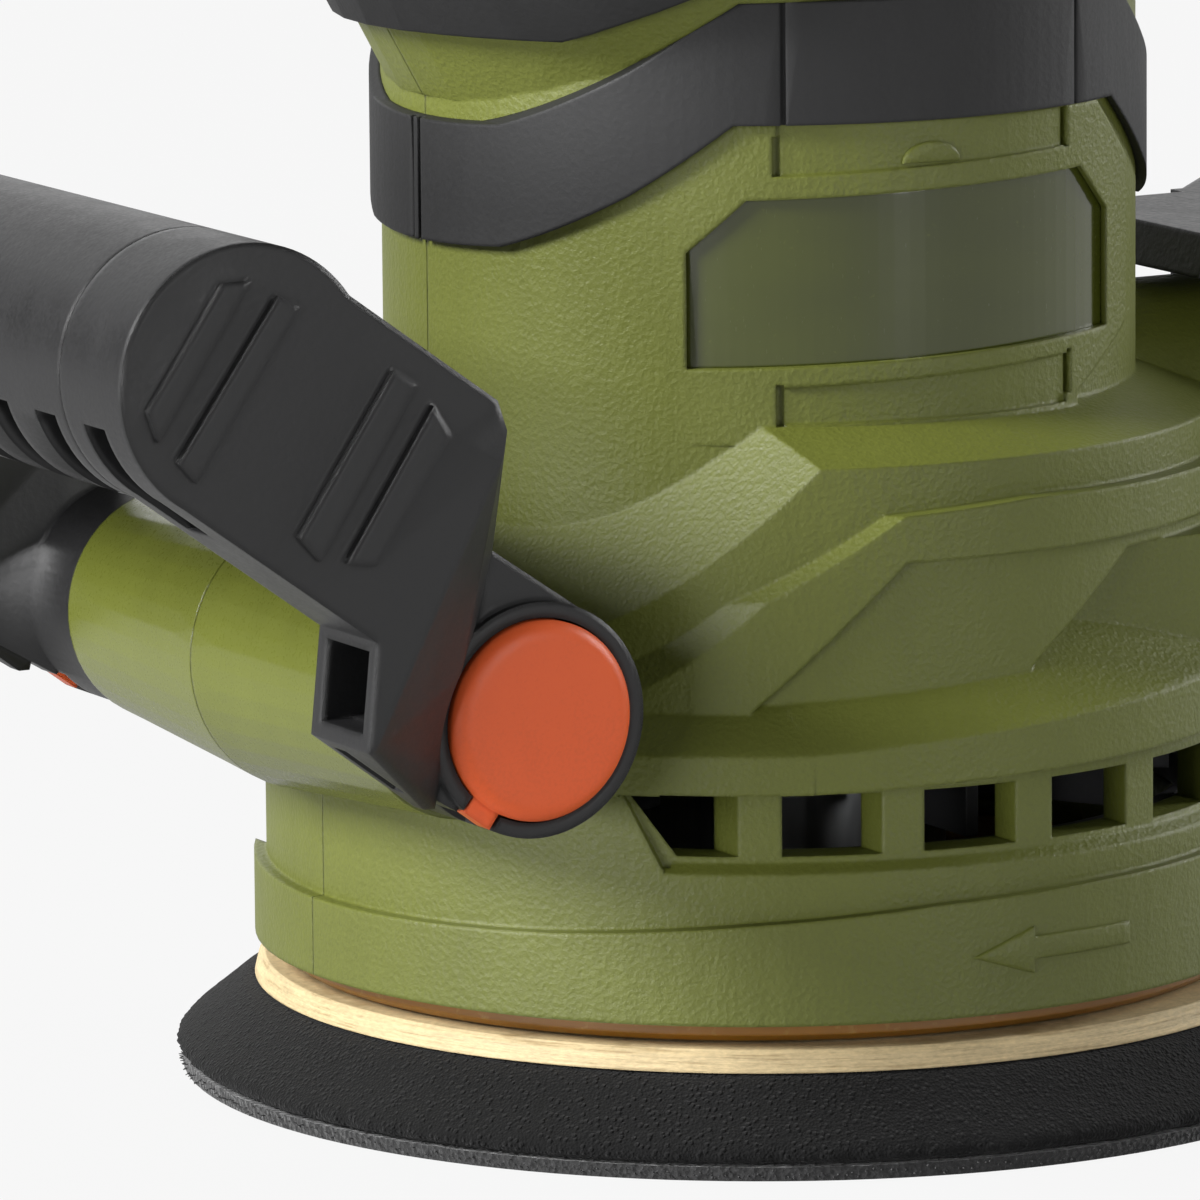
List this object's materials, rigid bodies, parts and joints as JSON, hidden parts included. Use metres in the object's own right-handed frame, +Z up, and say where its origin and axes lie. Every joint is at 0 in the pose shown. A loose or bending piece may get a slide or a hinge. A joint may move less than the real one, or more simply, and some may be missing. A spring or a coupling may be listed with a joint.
{
  "type": "orbital sander",
  "caption": "Round-pad random-orbit sander: motor column on a vented skirt, swinging bail with lock buttons, rear handle with trigger and dial, slide-off dust canister.",
  "frame": {"origin": "on the motor axis, in the plane of the pad's sanding face", "axes": "+Z up along the motor axis, -X toward the bail handle, +X along the rear handle, -Y the near side"},
  "size_m": [0.24, 0.125, 0.158],
  "materials": {
    "olive_plastic": "fine spark-eroded texture",
    "gloss_olive": "polished",
    "black_plastic": "fine texture",
    "black_rubber": "soft, fine grain",
    "orange_plastic": "satin",
    "steel": "zinc plated",
    "ground_steel": "ground and polished",
    "laminations": "stacked sheet, varnished",
    "copper_wire": "enamelled copper wire",
    "copper_bars": "turned copper",
    "brass": "pressed brass",
    "carbon": "pressed carbon",
    "board_green": "solder mask",
    "alloy": "die cast",
    "amber_rubber": "smooth",
    "tan_laminate": "woven laminate, cut edge",
    "foam": "closed-cell foam, cut edge",
    "hook": "hook fastening felt",
    "filter_paper": "pleated paper",
    "grey_plastic": "satin"
  },
  "bodies": {
    "housing": {"near_housing_half": "olive_plastic", "far_housing_half": "olive_plastic", "rubber_band": "black_rubber", "top_grip": "black_rubber", "badge_panel": "gloss_olive", "housing_screws": "steel", "cord_gland": "black_plastic", "pad_brake_ring": "amber_rubber", "dust_shroud": "black_plastic", "bearing_plate": "alloy", "bearing_plate_screws": "steel", "field_core": "laminations", "field_windings": "copper_wire", "brush_holders": "brass", "carbon_brushes": "carbon", "brush_springs": "steel", "upper_bearing_outer": "ground_steel", "upper_bearing_seat": "black_rubber", "lower_bearing_outer": "ground_steel", "lock_rings": "grey_plastic", "switch_body": "grey_plastic", "control_board": "board_green", "trigger_spring": "steel", "near_button_spring": "steel", "far_button_spring": "steel"},
    "rotor": {"motor_shaft": "ground_steel", "armature_core": "laminations", "armature_windings": "copper_wire", "commutator": "copper_bars", "fan": "grey_plastic", "counterweight": "steel", "upper_bearing_inner": "ground_steel", "upper_bearing_balls": "ground_steel", "lower_bearing_inner": "ground_steel", "lower_bearing_balls": "ground_steel", "pad_bearing_outer": "ground_steel"},
    "pad": {"pad_spindle": "steel", "pad_bearing_inner": "ground_steel", "pad_bearing_balls": "ground_steel", "backing_plate": "tan_laminate", "foam_pad": "foam", "hook_face": "hook", "pad_screws": "steel"},
    "bail": {"near_bail_arm": "black_plastic", "far_bail_arm": "black_plastic", "bail_bar": "black_plastic", "bail_screws": "steel"},
    "near_button": {"near_lock_button": "orange_plastic"},
    "far_button": {"far_lock_button": "orange_plastic"},
    "canister": {"canister_body": "black_plastic", "canister_filter": "filter_paper", "canister_seal": "black_rubber", "lid_hinge_pin": "steel"},
    "canister_door": {"canister_lid": "black_plastic"},
    "trigger": {"trigger": "black_plastic"},
    "lock_on": {"lock_on_button": "black_plastic"},
    "dial": {"speed_dial": "grey_plastic"}
  },
  "joints": [
    {"name": "rotor_spin", "type": "hinge", "parent": "housing", "child": "rotor", "pos_m": [0, 0, 0.08], "axis": [0, 0, 1], "continuous": true},
    {"name": "pad_spin", "type": "hinge", "parent": "rotor", "child": "pad", "pos_m": [0.00125, 0, 0.02], "axis": [0, 0, 1], "continuous": true},
    {"name": "bail_swing", "type": "hinge", "parent": "housing", "child": "bail", "pos_m": [-0.0519, 0, 0.0474], "axis": [0, 1, 0], "range_deg": [-40, 30]},
    {"name": "near_button_press", "type": "slide", "parent": "bail", "child": "near_button", "axis": [0, 1, 0], "range_m": [0, 0.003], "stiffness_N_per_m": 800, "springref_m": -0.001, "deforming": ["near_button_spring"]},
    {"name": "far_button_press", "type": "slide", "parent": "bail", "child": "far_button", "axis": [0, -1, 0], "range_m": [0, 0.003], "stiffness_N_per_m": 800, "springref_m": -0.001, "deforming": ["far_button_spring"]},
    {"name": "canister_slide", "type": "slide", "parent": "housing", "child": "canister", "axis": [1, 0, 0], "range_m": [0, 0.04]},
    {"name": "canister_door_open", "type": "hinge", "parent": "canister", "child": "canister_door", "pos_m": [0.12505, 0, 0.0339], "axis": [0, 1, 0], "range_deg": [0, 100]},
    {"name": "trigger_squeeze", "type": "slide", "parent": "housing", "child": "trigger", "axis": [0, 0, 1], "range_m": [0, 0.004], "stiffness_N_per_m": 600, "springref_m": -0.001, "deforming": ["trigger_spring"]},
    {"name": "lock_on_press", "type": "slide", "parent": "housing", "child": "lock_on", "axis": [0, 1, 0], "range_m": [0, 0.003], "stiffness_N_per_m": 400, "springref_m": -0.001},
    {"name": "dial_turn", "type": "hinge", "parent": "housing", "child": "dial", "pos_m": [0.044, 0, 0.146], "axis": [0, 1, 0], "range_deg": [0, 270]}
  ]
}
